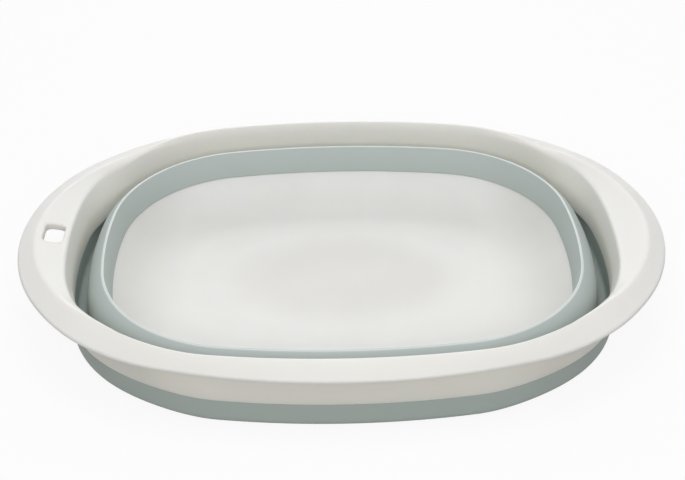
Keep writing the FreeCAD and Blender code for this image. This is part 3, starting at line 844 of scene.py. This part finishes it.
def plastic_material(name, finish, base, shade_colour, painted_shade_share):
    """White moulded plastic that goes from its own colour to a painted shade colour by a share that depends
    on the place.

    It is faintly mottled, has a painted highlight along the crest, is a little translucent, and satin with a
    very fine grain."""
    material, tree = new_material(name)
    place, clouds, grain, edge = textures(tree, cloud_size=34 * MM, grain_size=0.9 * MM)
    # Share of painted shade, mixed with random clouds
    depth = painted_shade_share(place) * (1 - finish.plastic_mottle) + clouds * finish.plastic_mottle
    shaded_and_mottled = depth.mixed(opaque(base), opaque(shade_colour))
    surface(
        tree,
        # Painted highlight along the crest, over the shaded and mottled colour
        base=(edge * finish.plastic_crest_highlight).mixed(shaded_and_mottled, opaque(finish.plastic_highlight)),
        roughness=uneven(finish.plastic_roughness, clouds, grain, PLASTIC_UNEVENNESS),
        grain=grain,
        depth=0.03 * MM,
        constants={
            "Specular IOR Level": 0.45,
            "Subsurface Weight": 0.7,
            "Subsurface Scale": 5 * MM,
            "Subsurface Radius": (1.0, 0.93, 0.8),
        },
    )
    return material


def rubber_material(finish):
    """Grey-green rubber: painted shade makes it deeper low down in the folds, it is faintly mottled, has a
    painted highlight along the bent crest, and a matt grain.
    """
    material, tree = new_material("grey_green_rubber")
    place, clouds, grain, edge = textures(tree, cloud_size=22 * MM, grain_size=0.6 * MM)
    # Painted shade: darker low down in the folds
    low = 1 - eased(along_axis(place, "Z"), *FOLD_SHADE_HEIGHTS)
    depth = low * (1 - finish.rubber_mottle) + clouds * finish.rubber_mottle
    shaded_and_mottled = depth.mixed(opaque(finish.rubber), opaque(finish.rubber_shade_colour))
    surface(
        tree,
        # Painted highlight along the bent crest
        base=(edge * finish.rubber_crest_highlight).mixed(shaded_and_mottled, opaque(finish.rubber_highlight)),
        roughness=uneven(finish.rubber_roughness, clouds, grain, RUBBER_UNEVENNESS),
        grain=grain,
        depth=0.04 * MM,
        constants={"Specular IOR Level": 0.4},
    )
    return material


def seen_share(tree):
    """1 for a ray from the camera, from a mirroring surface or through a clear one, else 0."""
    rays = ("Is Camera Ray", "Is Glossy Ray", "Is Transmission Ray")
    camera, mirrored, let_through = (tree.node("ShaderNodeLightPath", output=ray) for ray in rays)
    return camera + mirrored + let_through


def floor_material(studio):
    """Pale floor that looks white to the camera, keeps the shadow on it and throws little light back."""
    material, tree = new_material("pale_floor")
    seen = seen_share(tree)
    shade = seen.mixed(opaque(studio.floor_bounce), opaque(studio.floor))
    matt = tree.node("ShaderNodeBsdfDiffuse", {}, {"Color": shade})
    glow = tree.node("ShaderNodeEmission", {}, {"Color": WHITE, "Strength": 1.0})
    blend = tree.node("ShaderNodeMixShader", {}, {0: seen * studio.floor_glow, 1: matt, 2: glow})
    tree.finish("ShaderNodeOutputMaterial", blend)
    return material


def finish_piece(piece, material, slot, *nodes):
    """Gives a piece its material and hides the CAD nodes that it stands for; the slot is not used."""
    piece.data.materials.clear()
    piece.data.materials.append(material)
    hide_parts(*nodes)


class BOWL_OT_rim(bpy.types.Operator):
    """Makes the stiff rim with its ledges, lip, skirt and hanging hole"""

    bl_idname = "bowl.rim"
    bl_label = "Rim"

    def execute(self, context):
        bowl = context.scene.bowl
        finish = bowl.finish
        section, edge = rim_section(bowl.plan, bowl.rim)
        rim = grid_object("moulded_rim", carried(bowl.plan, section), edge)
        combine(rim, hole_collar(bowl.plan, bowl.rim), "UNION")
        combine(rim, hole_cutter(bowl.plan, bowl.rim), "DIFFERENCE")
        # Painted warm shade on the skirt and a painted highlight along the crest
        plastic = plastic_material(
            "white_rim_plastic", finish,
            base=finish.plastic, shade_colour=finish.plastic_warm_shade, painted_shade_share=skirt_shade_share,
        )
        finish_piece(rim, plastic, "white_plastic", "rim")
        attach(rim, "rim")
        return {"FINISHED"}


class BOWL_OT_bands(bpy.types.Operator):
    """Makes the three bands of the soft folding wall"""

    bl_idname = "bowl.bands"
    bl_label = "Folding wall"

    def execute(self, context):
        bowl = context.scene.bowl
        bands, plan = bowl.bands, bowl.plan
        # Painted shade in the folds and a painted highlight along the crest
        rubber = rubber_material(bowl.finish)
        made = {}
        for name, (section, edge) in (
            ("outer_band", outer_band_section(plan, bands)),
            ("middle_band", middle_band_section(plan, bands)),
            ("inner_band", inner_band_section(bands)),
        ):
            made[name] = grid_object(f"soft_{name}", carried(plan, section), edge)
            finish_piece(made[name], rubber, "grey_green_rubber", name)
        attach(made["outer_band"], "rim")
        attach(made["inner_band"], "base")
        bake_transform(made["middle_band"])
        return {"FINISHED"}


class BOWL_OT_pan(bpy.types.Operator):
    """Makes the dished base pan with its foot ring"""

    bl_idname = "bowl.pan"
    bl_label = "Base pan"

    def execute(self, context):
        bowl = context.scene.bowl
        finish = bowl.finish
        grid, edge = pan_grid(bowl.plan, bowl.bands, bowl.pan)
        pan = grid_object("dished_pan", grid, edge, ring=False)
        # Painted pale ring of light on the pan's floor and painted shade at its ends
        plastic = plastic_material(
            "white_pan_plastic", finish,
            base=finish.pan, shade_colour=finish.pan_shade_colour, painted_shade_share=painted_pan_shade,
        )
        finish_piece(pan, plastic, "white_plastic", "base_pan")
        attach(pan, "base")
        return {"FINISHED"}


def add_floor(studio):
    """Square floor just under the bowl."""
    mesh = bpy.data.meshes.new("floor")
    half, signs = studio.floor_half, ((-1, -1), (1, -1), (1, 1), (-1, 1))
    corners = [(x * half, y * half, -studio.floor_drop) for x, y in signs]
    mesh.from_pydata(corners, [], [(0, 1, 2, 3)])
    mesh.materials.append(floor_material(studio))
    floor = bpy.data.objects.new("floor", mesh)
    bpy.context.scene.collection.objects.link(floor)


def add_lamp(name, target, place, size, watts):
    """Soft rectangular lamp at a place, facing a target."""
    lamp = bpy.data.lights.new(name, "AREA")
    lamp.shape = "RECTANGLE"
    lamp.size, lamp.size_y = size
    lamp.energy = watts
    holder = bpy.data.objects.new(name, lamp)
    holder.location = place
    holder.rotation_euler = (target - Vector(place)).to_track_quat("-Z", "Y").to_euler()
    bpy.context.scene.collection.objects.link(holder)


def add_camera(studio, target):
    """Camera that looks at a target from the studio's distance, elevation, azimuth and roll."""
    back = Vector((
        sin(studio.azimuth) * cos(studio.elevation),
        -cos(studio.azimuth) * cos(studio.elevation),
        sin(studio.elevation),
    ))
    level = Vector((cos(studio.azimuth), sin(studio.azimuth), 0))
    upright = back.cross(level)
    right = cos(studio.roll) * level + sin(studio.roll) * upright
    up = cos(studio.roll) * upright - sin(studio.roll) * level
    lens = bpy.data.cameras.new("camera")
    lens.lens = studio.lens
    lens.shift_x = studio.shift_right / IMAGE_WIDTH
    lens.shift_y = studio.shift_up / IMAGE_WIDTH
    camera = bpy.data.objects.new("camera", lens)
    turned = Matrix((right, up, back)).transposed().to_4x4()
    camera.matrix_world = Matrix.Translation(target + studio.distance * back) @ turned
    bpy.context.scene.collection.objects.link(camera)
    bpy.context.scene.camera = camera


def set_surround(strength):
    """World that lights from all round and looks white to the camera."""
    world = bpy.data.worlds.new("surround")
    world.use_nodes = True
    world.node_tree.nodes.clear()
    tree = Socket(world.node_tree)
    level = strength + seen_share(tree) * (1 - strength)
    sky = tree.node("ShaderNodeBackground", {}, {"Color": WHITE, "Strength": level})
    tree.finish("ShaderNodeOutputWorld", sky)
    bpy.context.scene.world = world


class BOWL_OT_studio(bpy.types.Operator):
    """Sets up the pale floor, the soft lamps and the camera"""

    bl_idname = "bowl.studio"
    bl_label = "Studio"

    def execute(self, context):
        bowl = context.scene.bowl
        studio = bowl.studio
        target = Vector((0, 0, bowl.rim.height))
        add_floor(studio)
        add_lamp("top_lamp", target, place=(0, 0, 0.8), size=(0.5, 0.4), watts=studio.top_watts)
        add_lamp("front_lamp", target, place=(0, -1.06, 0.7), size=(1.2, 0.45), watts=studio.front_watts)
        add_lamp("back_lamp", target, place=(0, 1.15, 0.55), size=(2.0, 0.5), watts=studio.back_watts)
        set_surround(studio.surround)
        add_camera(studio, target)
        context.scene.view_settings.view_transform = "Standard"
        return {"FINISHED"}


class BOWL_PT_sidebar(bpy.types.Panel):
    """Sidebar panel with the bowl's pieces and settings"""

    bl_idname = "BOWL_PT_sidebar"
    bl_label = "Bowl"
    bl_space_type = "VIEW_3D"
    bl_region_type = "UI"
    bl_category = "Bowl"

    def draw(self, context):
        for operator in OPERATORS:
            self.layout.operator(operator.bl_idname)
        bowl = context.scene.bowl
        for group in (bowl.plan, bowl.rim, bowl.bands, bowl.pan, bowl.finish, bowl.studio):
            box = self.layout.box()
            for name in group.__annotations__:
                box.prop(group, name)


OPERATORS = (BOWL_OT_rim, BOWL_OT_bands, BOWL_OT_pan, BOWL_OT_studio)
GROUPS = (BowlPlan, RimSizes, BandSizes, PanSizes, BowlFinish, StudioSettings, BowlSettings)
CLASSES = (*GROUPS, *OPERATORS, BOWL_PT_sidebar)


def register():
    """Registers the classes and hangs the settings on the scene."""
    for cls in CLASSES:
        bpy.utils.register_class(cls)
    bpy.types.Scene.bowl = PointerProperty(type=BowlSettings)


def unregister():
    """Takes the settings and the classes away again."""
    del bpy.types.Scene.bowl
    for cls in reversed(CLASSES):
        bpy.utils.unregister_class(cls)


def main():
    """Makes every piece and the studio."""
    register()
    bpy.ops.bowl.rim()
    bpy.ops.bowl.bands()
    bpy.ops.bowl.pan()
    bpy.ops.bowl.studio()


if __name__ == "__main__":
    main()
